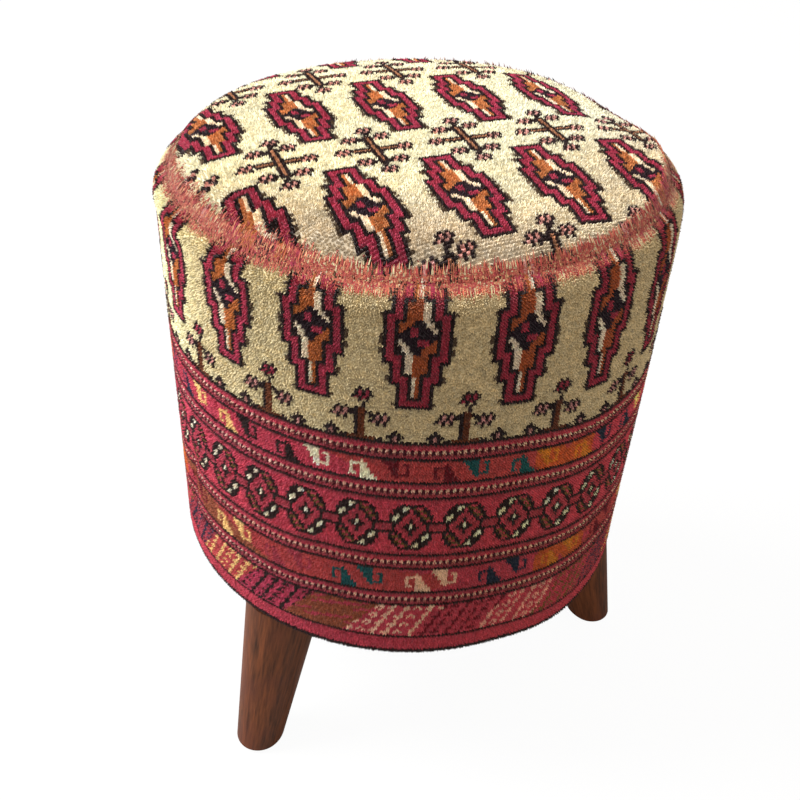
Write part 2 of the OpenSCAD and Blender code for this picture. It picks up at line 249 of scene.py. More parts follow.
class Knots:
    """Knots of one piece of rug, with the yarn of each."""

    def __init__(self, shape, ground):
        self.yarn = np.full(shape, YARN[ground])

    def tie(self, yarn, *where):
        """Ties this yarn where all the conditions hold."""
        chosen = where[0]
        for more in where[1:]:
            chosen = chosen & more
        self.yarn[chosen] = YARN[yarn]


def within(value, low, high):
    return (value > low) & (value < high)


def wrap(value, pitch):
    """Distance from the nearest multiple of the pitch."""
    return (value + pitch / 2) % pitch - pitch / 2


def fold(value, first, pitch, knot, seat):
    """Distance from the nearest repeat, seated on the knots, and the number of that repeat."""
    turn = np.round((value - first) / pitch)
    centre = (np.round((first + turn * pitch) / knot - seat) + seat) * knot
    return value - centre, turn.astype(int)


def stroke(u, v, start, end, half=1.05):
    """Knots on a line from start to end."""
    du, dv = end[0] - start[0], end[1] - start[1]
    part = np.clip(((u - start[0]) * du + (v - start[1]) * dv) / (du * du + dv * dv), 0.0, 1.0)
    return np.hypot(u - start[0] - part * du, v - start[1] - part * dv) < half


def stepped(u, v, steps, inset, tooth=0.0):
    """Inside of a stepped shape: rectangles of these half heights and half widths."""
    inside = np.zeros(u.shape, bool)
    for reach, half in steps:
        inside |= (np.abs(v) < reach - inset) & (np.abs(u) < half - inset + tooth)
    return inside


# Width of a knot and height of a row in the figures, and how far a medallion's outline is toothed
KNOT = 2.1
ROW = 2.0
TOOTH = 1.9
# Half heights and half widths of the medallion's steps, in millimetres
GUL = ((46.0, 9.8), (30.4, 14.7), (17.4, 18.4))
# Half widths of the rosette and of the part inside its outline, in knots, row by row from the middle
ROSETTE = ((8, 8), (8, 8), (8, 4), (6, 5), (6, 5), (6, 4), (5, 4), (5, 3), (4, 3), (3, -1))
# Knots of a hook below its wedge, row by row
HOOK = {
    5: (-4, -3, -2, -1, 1, 2),
    3: (-3, -2, -1, 2),
    1: (-3, -2, -1, 2),
    -1: (-2, -1, 2),
    -3: (-2, -1, 0, 1, 2),
    -5: (-1,),
}
# Knots of a flower: its three dark bars and the pale ones between
PETALS = (
    (-3, -1), (-2, 0), (-2, 1), (-1, 2),
    (-1, -2), (-1, -1), (0, 0), (0, 1), (1, 2),
    (1, -2), (1, -1), (2, 0), (2, 1),
)
HEARTS = ((-2, -1), (-1, 0), (-1, 1), (0, -1), (1, 0), (1, 1))
# Knots of the blobs in a corner of the rosette: column and row from its middle
BLOBS = ((1, 8), (2, 8), (2, 7), (4, 5), (4, 4), (5, 4), (5, 3))


def toothed(row):
    """Rows in which the outline of a medallion stands out by a knot."""
    return (12.9898 * row + 3.0 * np.sin(7.3 * row)) % 1.0 > 0.6


def gul(rug, u, v, tooth):
    """Long stepped medallion with a two-coloured heart."""
    rug.tie("taupe", stepped(u, v, GUL, 0.0, tooth))
    for yarn, inset in (("outline", 0.0), ("madder", 1.9), ("outline", 5.7)):
        rug.tie(yarn, stepped(u, v, GUL, inset))
    heart = stepped(u, v, GUL, 7.4)
    far, high = np.abs(u), np.abs(v)
    parted = u * np.sign(v) < np.where(high > 25.0, 0.0, 2.1)
    rug.tie("rust", heart, parted)
    rug.tie("ivory", heart, ~parted, far < 6.6, high > 9.0)
    rug.tie("aubergine", heart, far / 10.5 + high / 12.0 < 1)
    for side in (1, -1):
        rug.tie("ivory", stroke(side * u, side * v, (5.0, 10.0), (9.3, 2.6), 1.5))
    rug.tie("madder", np.abs(u + 2.6) < 2.2, np.abs(v - 3.6) < 2.9)
    rug.tie("madder", np.abs(u - 3.2) < 3.1, np.abs(v + 4.0) < 2.0)


def flower(rug, u, v, heart="pink"):
    """Small flower of slanting bars, dark and pale by turns."""
    column = np.round(u / KNOT)
    row = np.round(v / ROW)
    for yarn, knots in (("outline", PETALS), (heart, HEARTS)):
        for across, up in knots:
            rug.tie(yarn, column == across, row == up)


# Branches of a star, its bars by half width and half height, and the middles of its flowers
STAR_BRANCHES = (
    ((2.1, 15.0), (8.0, 19.0)), ((-2.1, 17.0), (-8.5, 12.0)), ((2.1, -17.0), (8.5, -12.5)),
    ((-2.1, -15.0), (-7.0, -18.0)), ((0.0, 20.0), (3.0, 26.0)), ((0.0, -20.0), (-2.0, -24.0)),
)
STAR_BARS = (
    ("outline", 12.9, 3.0), ("outline", 17.5, 1.0), ("fawn", 12.9, 1.0), ("outline", 3.2, 19.5),
    ("fawn", 1.1, 17.5),
)
STAR_FLOWERS = (
    (2.1, 28.0), (0.0, -28.0), (-19.1, 0.0), (19.1, 0.0),
    (-10.6, 16.0), (10.6, 18.0), (-10.6, -16.0), (10.6, -16.0),
)


def star(rug, u, v):
    """Star of eight flowers on a barred cross."""
    for start, end in STAR_BRANCHES:
        rug.tie("outline", stroke(u, v, start, end, 1.15))
    for yarn, far, high in STAR_BARS:
        rug.tie(yarn, np.abs(u) < far, np.abs(v) < high)
    for a, b in STAR_FLOWERS:
        flower(rug, u - a, v - b)


# Parts of a tree from the border up: yarn, left, right, foot and head
TREE_PARTS = (
    ("outline", -12.0, 12.0, 2.0, 4.0),
    ("umber", -9.0, 9.0, 2.0, 4.0),
    ("outline", -4.3, 2.2, 4.0, 24.0),
    ("umber", -2.2, 2.2, 2.0, 24.0),
    ("outline", -0.2, 2.2, 24.0, 28.0),
)


def tree(rug, u, v):
    """Small flowering tree that stands on the border."""
    near = (np.abs(u) < 26) & within(v, 2.0, 44.0)
    for side in (1, -1):
        rug.tie("outline", near, stroke(side * u, v, (3.2, 21.0), (8.4, 18.0), 1.2))
    for yarn, left, right, foot, head in TREE_PARTS:
        rug.tie(yarn, near, within(u, left, right), within(v, foot, head))
    flower(rug, u - 1.05, v - 33.0, "madder")
    flower(rug, u + 11.5, v - 19.0)
    flower(rug, u - 11.5, v - 17.0)
    for a in (-17.9, 19.9):
        rug.tie("outline", near, np.abs(u - a) / 6.2 + np.abs(v - 5.0) / 5.2 < 1)
        rug.tie("pink", near, np.abs(u - a) < 1.1, np.abs(v - 4.6) < 2.1)


def hook(rug, yarn, column, v, where, reach):
    """Square hook that hangs from a wedge."""
    shape = within(column, -6, 0) & within(v, 6.0, reach)
    for level, columns in HOOK.items():
        shape |= np.isin(column, columns) & (np.abs(v - level) < 0.9)
    rug.tie(yarn, where, shape)


def rosette(rug, column, row, where):
    """Stepped rosette, ivory and olive by turns, linked to its neighbours."""
    far = np.abs(column)
    high = np.abs(row)
    outer, inner = np.moveaxis(np.array(ROSETTE)[np.minimum(high, 9)], -1, 0)
    where = where & (high <= 9) & (far <= outer)
    body = where & (far <= inner)
    ring = far / 4.6 + high / 6.8
    rug.tie("outline", where)
    rug.tie("mauve", body, high < 2, far > 5)
    corner = body & (ring > 1.35) & (high > 1)
    rug.tie("crimson", corner, column * row > 0)
    rug.tie("olive", corner, column * row > 0, (far + 2 * high) % 4 < 2)
    for across, up in BLOBS:
        rug.tie("ivory", corner, column * row < 0, far == across, high == up)
    rug.tie("crimson", where, ring < 1.04)
    rug.tie("mauve", where, ring < 0.84)
    rug.tie("outline", where, far / 2.6 + high / 3.1 < 1)
    rug.tie("ivory", where, column == 0, (row == 0) | (row == 1))


def arrow(rug, yarn, column, row, where):
    """Little slanting figure of the outer band."""
    shape = (column == 2) & (row < 3)
    shape |= (row == 1) & (column > 0)
    shape |= (row == 0) & (column == 3)
    shape |= (row == 3) & (column == 1)
    rug.tie(yarn, where, shape)


def guard(rug, column, z, high):
    """Narrow band of pale and dark dots between two dark lines, seven rows down from high."""
    row = np.round((high - z) / ROW)
    rug.tie("mauve", within(row, -0.5, 6.5))
    rug.tie("crimson", row == 2)
    dots = row == 3
    rug.tie("bead", dots, column % 2 == 0)
    rug.tie("rose", row == 4, column % 2 == 0)
    rug.tie("maroon", dots | (row == 4), column % 2 == 1)
    rug.tie("outline", (row == 0) | (row == 6))


# Width of a knot of the top, the middle of its first star, and the way from a medallion to a star
TOP_KNOT = 2.125
TOP_MIDDLE = (16.95, -31.5)
TO_STAR = (13.5 * TOP_KNOT, 65.0)
# How the cloth of the top lies askew: shear of the columns and rows, and shift
ASKEW = (0.061, 0.0335, 1.0, 2.8)
# Cut wool of the top is paler than that of the side, partly paler cut ends and partly painted light on
# the lit top, and its brown dyes have faded
TOP_CREAM_AND_PAINTED_LIGHT = (1.08, 1.2, 1.48)
FADED = ("rust", "fawn", "pink")
# Painted shade: dyes made deeper and browner from the middle of the front to the right
PAINTED_SHADE_DYES = (
    ("rust", (0.88, 0.68, 0.85)),
    ("madder", (0.86, 0.84, 0.7)),
    ("cream", (0.96, 0.91, 0.88)),
)
# Heights on the side: foot of the cream field, tops of the guards, middle of the rosettes, outer band
FIELD_FOOT = 328.0
GUARDS = (327.0, 297.0, 237.0, 203.0)
ROSETTES_AT = 261.0
OUTER_BAND = (160.0, 190.0)
# Middle of the side's medallions, their stretch, and the top of the dark edge of the hem
GULS_AT = 400.0
GUL_STRETCH = 46.0 / 47.5
HEM_EDGE = 145.0
# Hooks in a stripe, degrees to a medallion and to a zone of the outer band, and its first zone
HOOKS_ROUND = 44
GUL_TURN = 20.0
ZONE_TURN = 15.0
FIRST_ZONE = -124.0
# The two stripes of hooks: middle, half height, azimuth of the first hook, yarns and way up
STRIPES = (
    (306.0, 8.0, -107.5, ("ivory", "darkred", "teal", "gold", "navy", "straw", "outline"), 1),
    (214.0, 10.0, -103.3, ("teal", "bead", "navy", "gold", "darkred", "straw", "mauve"), -1),
)
# Figures and ground of the slanting zones of the outer band
BAND_ZONES = (
    ("straw", "scarlet"),
    ("outline", "madder"),
    (None, "brown"),
    ("bead", "crimson"),
    ("darkred", "crimson"),
    ("pink", "crimson"),
    ("olive", "crimson"),
    ("navy", "mauve"),
)


def hook_stripe(rug, azimuth, along, z, knot, centre, half, first, yarns, flip):
    """One stripe of hooks in pairs that hang from opposite edges."""
    u, turn = fold(along, (first - FRONT) * PER_DEGREE, 360.0 / HOOKS_ROUND * PER_DEGREE, knot, 0.5)
    v = z - centre
    inside = np.abs(v) < half
    # The ground changes to other reds in runs of uneven length
    if flip > 0:
        rug.tie("scarlet", inside, within((azimuth + 0.6 * v) % 131.0, 30.0, 82.0))
    else:
        rug.tie("scarlet", inside)
        rug.tie("crimson", inside, within((azimuth + 20 * np.sin(z / 9.0)) % 97.0, 0.0, 38.0))
        rug.tie("brown", inside, within((azimuth + z) % 163.0, 60.0, 84.0))
    direction = np.where(turn % 2 == 0, flip, -flip)
    step = np.round(u / knot).astype(int) * direction
    for i, yarn in enumerate(yarns):
        here = inside & (turn // 2 % len(yarns) == i)
        if yarn == "gold":
            rug.tie("ember", here, np.abs(step + 0.3 * v) < 7)
        hook(rug, yarn, step, v * direction, here, half)


def outer_band(rug, column, along, z):
    """Slanting zones of little figures on grounds of several reds."""
    foot, head = OUTER_BAND
    leaning = along - (FIRST_ZONE - FRONT) * PER_DEGREE + 0.8 * (head - z)
    zone = np.floor(leaning / (ZONE_TURN * PER_DEGREE)).astype(int) + 1
    below = np.round((head - 1.0 - z) / ROW).astype(int)
    for i, (yarn, ground) in enumerate(BAND_ZONES):
        here = within(z, foot, head) & (zone % len(BAND_ZONES) == i)
        rug.tie(ground, here)
        if ground == "brown":
            rug.tie("crimson", here, np.sin(0.45 * column + 1.9 * below) + np.sin(0.8 * below) > 0.9)
        if yarn:
            kept = np.sin(3.7 * column + 11.3 * below) < 0.6
            arrow(rug, yarn, (column + 2 * (below // 4)) % 4, below % 4, here & kept)


def side_pattern(azimuth, z, sizes):
    """Yarns of the side: medallions above, borders below."""
    knot = 360.0 / sizes.columns * PER_DEGREE
    rug = Knots(azimuth.shape, "cream")
    along = (azimuth - FRONT) * PER_DEGREE
    column = np.round(along / knot - 0.5).astype(int)
    u, _ = fold(along, PER_DEGREE, GUL_TURN * PER_DEGREE, knot, 0.0)
    gul(rug, u, (z - GULS_AT) * GUL_STRETCH, TOOTH * toothed(np.round((z - 1.0) / ROW)))
    u, _ = fold(along, 11.0 * PER_DEGREE, GUL_TURN * PER_DEGREE, knot, 0.0)
    tree(rug, u, z - FIELD_FOOT + 2.0)

    rug.tie("crimson", z < FIELD_FOOT)
    for stripe in STRIPES:
        hook_stripe(rug, azimuth, along, z, knot, *stripe)
    # Main border of rosettes, 16 knots apart
    v = z - ROSETTES_AT
    border = within(v, -23.0, 23.0)
    rug.tie("mauve", border, np.abs(v) > 21.0)
    rosette(rug, (column + 22) % 16 - 8, np.round(v / ROW).astype(int), border)
    outer_band(rug, column, along, z)
    for high in GUARDS:
        guard(rug, column, z, high)
    rug.tie("outline", within(z, OUTER_BAND[0] - 2.0, OUTER_BAND[0]))
    rug.tie("crimson", z < OUTER_BAND[0] - 2.0)
    rug.tie("outline", z < HEM_EDGE)
    return rug.yarn


def top_pattern(t, n, sizes):
    """Yarns of the top, with its rows along t."""
    rug = Knots(t.shape, "cream")
    pitch = MM * sizes.pitch
    apart = MM * sizes.rows_apart
    t = t - TOP_MIDDLE[0]
    n = n - TOP_MIDDLE[1]
    star(rug, wrap(t, pitch), wrap(n, apart))
    tooth = TOOTH * toothed(np.round(n / ROW))
    gul(rug, wrap(t + TO_STAR[0], pitch), wrap(n + TO_STAR[1], apart), tooth)
    return rug.yarn


def yarn_palette(colours):
    return np.array([list(getattr(colours, name)) for name in YARN])


def dyed(yarn, x, y, colours, seed):
    """Colour of every knot, with the uneven dye and light of hand-spun wool."""
    result = yarn_palette(colours)[yarn]
    draw = np.random.default_rng(seed)
    bands = 0.06 * drift(0.02 * x, 0.9 * y, seed + 1)
    patches = 0.09 * drift(0.03 * x, 0.03 * y, seed + 2)
    own = draw.normal(0.0, 0.1, yarn.shape)
    result = result * (1.0 + bands + patches + own)[..., None]
    warm = 0.08 * drift(0.012 * x, 0.05 * y, seed + 3) + draw.normal(0.0, 0.03, yarn.shape)
    result[..., 0] *= 1.0 + 0.5 * warm
    result[..., 2] *= 1.0 - warm
    return np.clip(result, 0.0, 1.0)


def side_dyes(yarn, azimuth, height, colours):
    """Colours of the knots of the side, whose dyes change slowly round the body, with painted light on
    the cream of the far left and painted shade from the middle of the front to the right.
    """
    knots = dyed(yarn, (azimuth - FRONT) * PER_DEGREE, height, colours, 21)
    # Painted light: the cream is paler and brighter on the far left, where the lamp falls
    pale = smooth(-azimuth, 132.0, 158.0)[..., None] * (yarn == YARN["cream"])[..., None]
    knots = np.clip(knots * (1.0 + pale * (np.array((1.3, 1.45, 1.6)) - 1.0)), 0.0, PALEST)
    # Painted shade: some dyes are darker and browner from the middle of the front to the right
    painted_shade_right = smooth(azimuth, -125.0, -85.0)
    for name, shade_tint in PAINTED_SHADE_DYES:
        share = (painted_shade_right * (yarn == YARN[name]))[..., None]
        knots = knots * (1.0 - share * (1.0 - np.array(shade_tint)))
    # The borders are a little brighter, and painted light makes them brighter and more orange towards
    # the right
    borders = height < FIELD_FOOT
    right = hill(azimuth, -130.0, -50.0, -20.0, 100.0) * borders
    knots[..., 1] *= 1.0 + 0.12 * right
    knots[..., 2] *= 1.0 - 0.1 * right
    bright = 0.14 * smooth(height, 215.0, 250.0) * borders + 0.14 * right
    return np.clip(knots * (1.0 + bright[..., None]), 0.0, PALEST)


def top_dyes(yarn, t, n, x, y, colours):
    """Colours of the knots of the top, with painted shade that makes the cream a little browner towards
    the front and right of the rim.
    """
    knots = dyed(yarn, t, n, colours, 51)
    pale = (yarn == YARN["cream"])[..., None]
    # Painted light: the cream of the top is paler, partly for its paler cut ends
    knots = np.where(pale, knots * TOP_CREAM_AND_PAINTED_LIGHT, knots)
    faded = np.isin(yarn, [YARN[name] for name in FADED])[..., None]
    knots = np.where(faded, 0.93 * knots + 0.07 * np.array(colours.cream), knots)
    knots = np.where((yarn == YARN["madder"])[..., None], 0.86 * knots, knots)
    # Painted shade: the cream is darker and browner towards the front and right of the rim
    brown = np.maximum(smooth(-y, 70.0, 145.0), 0.7 * smooth(0.8 * x - 0.5 * y, 55.0, 130.0))
    shade_tint = pale * brown[..., None] * np.array((0.17, 0.27, 0.3))
    return np.clip(knots * (1.0 - shade_tint), 0.0, PALEST)


# Shapes of the cover
# Line over the crease of the rim seam: distance from the middle and height
SEAM_LINE = (
    (150.0, 440.9), (154.3, 437.5), (156.6, 433.5), (158.6, 430.6),
    (161.5, 428.6), (164.5, 425.5), (166.8, 422.0),
)
# Length of that line down to the crease, and the shares of salmon, rose and pale wool in the seam
TO_CREASE = 12.5
SEAM_SHARES = (0.5, 0.36, 0.14)
# Inside of the side's cloth, from the hem up to the seam, and the inner edge of the hem
INSIDE = ((159.0, 146.0), (163.5, 149.0), (161.5, 414.0), (152.0, 423.5))
HEM_R = 159.0
# A row of knots ends at this height
EDGE_Z = 300.0
# The crown is flat in the middle and round at its edge, a superellipse of this power
CROWN_POWER = 2 / 3.3
# Where the top bends down to the rim, and the heights at which the side takes up the rim's tilt
BEND_R = 143.0
TILT_Z = (402.0, 430.0)


def walk(corners, step, through=None):
    """Even steps along a line of corners: places, outward normals, directions and lengths."""
    corners = np.asarray(corners, float)
    run = np.concatenate(([0.0], np.cumsum(np.hypot(*np.diff(corners, axis=0).T))))
    if through is None:
        lengths = np.linspace(0.0, run[-1], int(round(run[-1] / step)) + 1)
    else:
        lengths = np.arange(through % step, run[-1], step)
    places = np.column_stack([np.interp(lengths, run, corners[:, k]) for k in (0, 1)])
    along = np.gradient(places, axis=0)
    along /= np.hypot(*along.T)[:, None]
    normals = np.column_stack((-along[:, 1], along[:, 0]))
    return places, normals, along, lengths


def arc_points(centre, radius, start, end, count):
    angles = np.radians(np.linspace(start, end, count))
    return np.column_stack((centre[0] + radius * np.cos(angles), centre[1] + radius * np.sin(angles)))


def side_outline(inset):
    """Outside of the side from the rim seam down and round under the hem."""
    corner = 4.0
    top = arc_points((SHOULDER_R - ROLL, SHOULDER_Z), ROLL - inset, 100.0, 0.0, 30)
    bottom = arc_points((BODY_R - corner, HEM_Z + corner), corner - 0.4 * inset, 0.0, -90.0, 12)
    bottom += 0.6 * inset * np.array((-1.0, 1.0))
    return np.vstack((top, bottom, [(HEM_R, bottom[-1, 1])]))


def crown_outline(inset):
    """Outside of the top from its middle out over the rim."""
    angles = np.radians(np.linspace(90.0, 4.0, 160))
    radius = RIM_R - inset
    rise = CROWN_Z - RIM_Z - inset
    out = radius * np.cos(angles) ** CROWN_POWER
    places = np.column_stack((out, RIM_Z + rise * np.sin(angles) ** CROWN_POWER))
    places[0, 0] = 0.0
    lip = arc_points((radius - 3.0, RIM_Z + 1.0), 3.0, 0.0, -80.0, 8)
    return np.vstack((places, lip))


def smooth(value, low, high):
    """Soft step from 0 at low to 1 at high."""
    part = np.clip((value - low) / (high - low), 0.0, 1.0)
    return part * part * (3.0 - 2.0 * part)


def hill(value, low, full, ebb, end):
    """Soft step up from low to full, and down again from ebb to end."""
    return smooth(value, low, full) * smooth(-value, -end, -ebb)


def bell(value, centre, width):
    return np.exp(-(((value - centre) / width) ** 2))


def level_tilt(x, y):
    """How far the rim rises towards the right and the back."""
    return (5.5 * x + 3.8 * y) / RIM_R


def seam_tilt(points, share):
    """The rim of the real pouf dips at the left and rises at the right."""
    x, y, z = points[..., 0], points[..., 1], points[..., 2]
    side = np.degrees(np.arctan2(y, x))
    tilt = share * (level_tilt(x, y) - 9.5 * bell(side, DIP_AT, DIP_WIDTH))
    reach = 1.0 - 0.3 * tilt / RIM_R
    return np.stack((x * reach, y * reach, z + tilt), axis=-1)


def crown_reach(inset):
    """Distances from the middle and the lengths of cloth that reach them."""
    places, _, _, lengths = walk(crown_outline(inset), 1.0)
    outward = places[:, 0] > np.maximum.accumulate(np.append(-1.0, places[:-1, 0]))
    return places[outward, 0], lengths[outward]


def side_places(azimuth, radius, z):
    """Points of the side, drawn in along the back seam, with the sag of the real cover."""
    dip = 2.2 * bell(wrap(azimuth - SEAM_AT, 360.0) * PER_DEGREE, 0.0, 4.0)
    # A shallow crease low on the left
    crease = bell(azimuth + 153.0 - 0.06 * (z - 190.0), 0.0, 3.0)
    dip = dip + 3.0 * crease * hill(z, 150.0, 175.0, 225.0, 262.0)
    swell = 0.7 * drift(azimuth / 30.0, z / 60.0, 5)
    reach = radius - dip + swell * np.clip((radius - 150.0) / 15.0, 0.0, 1.0)
    # It sags at the right, where its hem hangs lower, and its borders sink a little at the left
    sag = 8.5 * hill(azimuth, -72.0, -42.0, 20.0, 60.0)
    sag = sag * np.interp(z, (150.0, 200.0, 225.0, 350.0, 418.0), (0.0, 0.5, 1.0, 1.0, 0.0))
    hang = 8.0 * hill(azimuth, -70.0, -44.0, 10.0, 50.0)
    sag = sag + hang * smooth(radius, 158.0, 164.0) * smooth(-z, -215.0, -165.0)
    low = 2.5 * hill(azimuth, -190.0, -165.0, -116.0, -105.0)
    low = low * np.interp(z, (150.0, 175.0, 245.0, 275.0), (0.0, 1.0, 1.0, 0.0))
    wave = 0.7 * drift(azimuth / 20.0, 0.0 * z, 11) + 0.3 * drift(azimuth / 4.0, z / 90.0, 12)
    wave = wave * np.interp(z, (146.0, 165.0, 400.0, 420.0), (0.0, 1.0, 1.0, 0.0))
    turn = np.radians(azimuth)
    points = np.stack((reach * np.cos(turn), reach * np.sin(turn), z - sag - low + wave), axis=-1)
    return seam_tilt(points, smooth(z + 0.0 * azimuth, *TILT_Z))


def crown_places(t, n, outline, lengths, turn):
    """Points on the crown of points of the flat cloth."""
    reach = np.minimum(np.hypot(t, n), lengths[-1])
    radius = np.interp(reach, lengths, outline[:, 0])
    z = np.interp(reach, lengths, outline[:, 1])
    around = np.arctan2(n, t) + turn
    x = radius * np.cos(around)
    y = radius * np.sin(around)
    z = z + 0.6 * drift(x / 45.0, y / 45.0, 8) * np.clip((150.0 - radius) / 60.0, 0.0, 1.0)
    side = np.degrees(np.arctan2(y, x))
    sunk = 6.0 * bell(side, DIP_AT, DIP_WIDTH) + 1.2 * smooth(side, 60.0, 110.0)
    z = z - sunk * hill(radius, 90.0, BEND_R, BEND_R, RIM_R)
    return seam_tilt(np.stack((x, y, z), axis=-1), smooth(radius, BEND_R, RIM_R))


def yarn_at_seam(turn, place, radius, z, start, sizes):
    """Yarn of the cloth below each fibre: the top's above the crease, the side's below it."""
    reach = np.interp(radius, *crown_reach(MM * sizes.pile))
    n_laid = reach * np.sin(turn - sizes.turn) - ASKEW[3]
    t_laid = reach * np.cos(turn - sizes.turn) - ASKEW[2]
    area = 1.0 + ASKEW[0] * ASKEW[1]
    t = (t_laid - ASKEW[0] * n_laid) / area
    n = (n_laid + ASKEW[1] * t_laid) / area
    bend = np.arctan2(z - SHOULDER_Z, radius - SHOULDER_R + ROLL)
    height = SHOULDER_Z + (ROLL - MM * sizes.pile) * bend
    side = side_pattern(place, height, sizes)
    return np.where(start < TO_CREASE, top_pattern(t, n, sizes), side)


# The pile
def strand_tree():
    """Geometry nodes that stand one wool strand on every point."""
    tree = bpy.data.node_groups.new("Wool strands", "GeometryNodeTree")
    face = tree.interface
    for name, kind, value in (
        ("Points", "Geometry", None),
        ("Length", "Float", 0.003),
        ("Width", "Float", 0.0015),
        ("Bend", "Float", 0.0),
        ("Uneven", "Float", 0.16),
        ("Segments", "Int", 1),
        ("Seed", "Int", 1),
        ("Wool", "Material", None),
    ):
        socket = face.new_socket(name, in_out="INPUT", socket_type="NodeSocket" + kind)
        if value is not None:
            socket.default_value = value
    face.new_socket("Strands", in_out="OUTPUT", socket_type="NodeSocketGeometry")
    given = tree.nodes.new("NodeGroupInput").outputs
    add = partial(add_node, tree)

    # A cone, marked with the share of its length and bent sideways
    shape = {"Vertices": 3, "Side Segments": given["Segments"], "Radius Top": 0.0}
    half = work_out(add, "MULTIPLY", given["Width"], 0.5)
    shape.update({"Radius Bottom": half, "Depth": given["Length"]})
    cone = add("GeometryNodeMeshCone", shape, fill_type="NONE")
    place = add("ShaderNodeSeparateXYZ", {0: add("GeometryNodeInputPosition")})
    share = work_out(add, "DIVIDE", place.outputs["Z"], given["Length"])
    mark = {"Geometry": cone, "Name": "along", "Value": share}
    marked = add("GeometryNodeStoreNamedAttribute", mark, data_type="FLOAT", domain="POINT")
    square = work_out(add, "POWER", share, 2.0)
    bend = work_out(add, "MULTIPLY", square, given["Bend"])
    offset = add("ShaderNodeCombineXYZ", {0: bend})
    bent = add("GeometryNodeSetPosition", {"Geometry": marked, "Offset": offset})

    # It stands along its aim, falls to one side and is a little longer or shorter
    read = partial(add, "GeometryNodeInputNamedAttribute")
    aim = read({"Name": "aim"}, data_type="FLOAT_VECTOR")
    fall = read({"Name": "fall"}, data_type="FLOAT_VECTOR")
    turn = partial(add, "FunctionNodeAlignRotationToVector")
    upright = turn({"Vector": aim}, axis="Z")
    turned = turn({"Rotation": upright, "Vector": fall}, axis="X", pivot_axis="Z")
    least = work_out(add, "SUBTRACT", 1.0, given["Uneven"])
    most = work_out(add, "ADD", 1.0, given["Uneven"])
    spread = {"Min": least, "Max": most, "Seed": given["Seed"]}
    uneven = add("FunctionNodeRandomValue", spread, data_type="FLOAT")
    own = read({"Name": "size"}, data_type="FLOAT")
    scale = work_out(add, "MULTIPLY", own, uneven)
    stand = {"Points": given["Points"], "Instance": bent, "Rotation": turned, "Scale": scale}
    real = add("GeometryNodeRealizeInstances", {0: add("GeometryNodeInstanceOnPoints", stand)})
    dressed = add("GeometryNodeSetMaterial", {"Geometry": real, "Material": given["Wool"]})
    add("NodeGroupOutput", {0: dressed})
    return tree


def stand_strands(name, slot, strands, **settings):
    """One piece of many strands, made by the node tree and turned into a plain mesh."""
    roots, aims, falls, sizes, colours = strands
    mesh = bpy.data.meshes.new(name + "_roots")
    mesh.vertices.add(len(roots))
    mesh.vertices.foreach_set("co", (roots / MM).astype(np.float32).ravel())
    for key, kind, field, data in (
        ("aim", "FLOAT_VECTOR", "vector", aims),
        ("fall", "FLOAT_VECTOR", "vector", falls),
        ("size", "FLOAT", "value", sizes),
        ("yarn_colour", "FLOAT_COLOR", "color", np.column_stack((colours, np.ones(len(colours))))),
    ):
        layer = mesh.attributes.new(key, kind, "POINT")
        layer.data.foreach_set(field, np.asarray(data, np.float32).ravel())
    carrier = new_piece(name + "_roots", mesh)
    group = bpy.data.node_groups.get("Wool strands") or strand_tree()
    modifier = carrier.modifiers.new("Strands", "NODES")
    modifier.node_group = group
    for socket in group.interface.items_tree:
        if socket.item_type == "SOCKET" and socket.name in settings:
            modifier[socket.identifier] = settings[socket.name]
    graph = bpy.context.evaluated_depsgraph_get()
    plain = bpy.data.meshes.new_from_object(carrier.evaluated_get(graph))
    plain.name = name
    for key in ("aim", "fall", "size"):
        if key in plain.attributes:
            plain.attributes.remove(plain.attributes[key])
    bpy.data.objects.remove(carrier)
    bpy.data.meshes.remove(mesh)
    return ride_root(new_piece(name, plain))


def unit(vectors):
    return vectors / np.linalg.norm(vectors, axis=-1, keepdims=True)


# Places of the three cut ends on a knot: across in knots, down in millimetres
CUT_ENDS = ((-0.33, 0.45), (0.0, -0.55), (0.33, 0.1))


def cut_ends(centres, across, down, normals, colours, yarn, sizes, seed):
    """Roots, directions, lengths and colours of the cut ends of every knot."""
    draw = np.random.default_rng(seed)
    count = len(centres)
    # The knots of the pattern stand fuller and straighter than those of the ground
    ground = yarn == YARN["cream"]
    bulk = np.where(ground, 0.95, np.where(yarn == YARN["outline"], 1.2, 1.08))
    stray = np.where(ground, 0.45, 0.17)[:, None]
    uneven = np.where(ground, 0.08, 0.13)
    groups = []
    for side, lift in CUT_ENDS:
        jitter = draw.normal(0.0, 1.0, (count, 2)) * stray
        roots = centres + across * (side * KNOT + jitter[:, :1]) + down * (lift + jitter[:, 1:])
        aims = normals * math.cos(sizes.lean) + down * math.sin(sizes.lean)
        aims = unit(aims + draw.normal(0.0, 0.11, (count, 3)))
        falls = unit(down + draw.normal(0.0, 0.6, (count, 3)))
        shade = colours * (1.0 + uneven * draw.normal(0.0, 1.0, count))[:, None]
        groups.append((roots, aims, falls, bulk, np.clip(shade, 0.0, 1.0)))
    return [np.concatenate(parts) for parts in zip(*groups)]


# Materials
def new_material(name):
    """A material with its shader, a way to add nodes to it, and places on the piece."""
    material = bpy.data.materials.new(name)
    material.use_nodes = True
    tree = material.node_tree
    tree.nodes.clear()
    add = partial(add_node, tree)
    shader = add("ShaderNodeBsdfPrincipled")
    add("ShaderNodeOutputMaterial", {"Surface": shader})
    return material, shader, add, add("ShaderNodeTexCoord").outputs["Object"]


def show_yarn(add, shader, strength, rough, specular):
    """Matt wool in the colour of its yarn, times a strength."""
    yarn = add("ShaderNodeAttribute", attribute_name="yarn_colour")
    colour = add("ShaderNodeVectorMath", {0: yarn, "Scale": strength}, operation="SCALE")
    feed(shader, {"Base Color": colour, "Roughness": rough, "Specular IOR Level": specular})


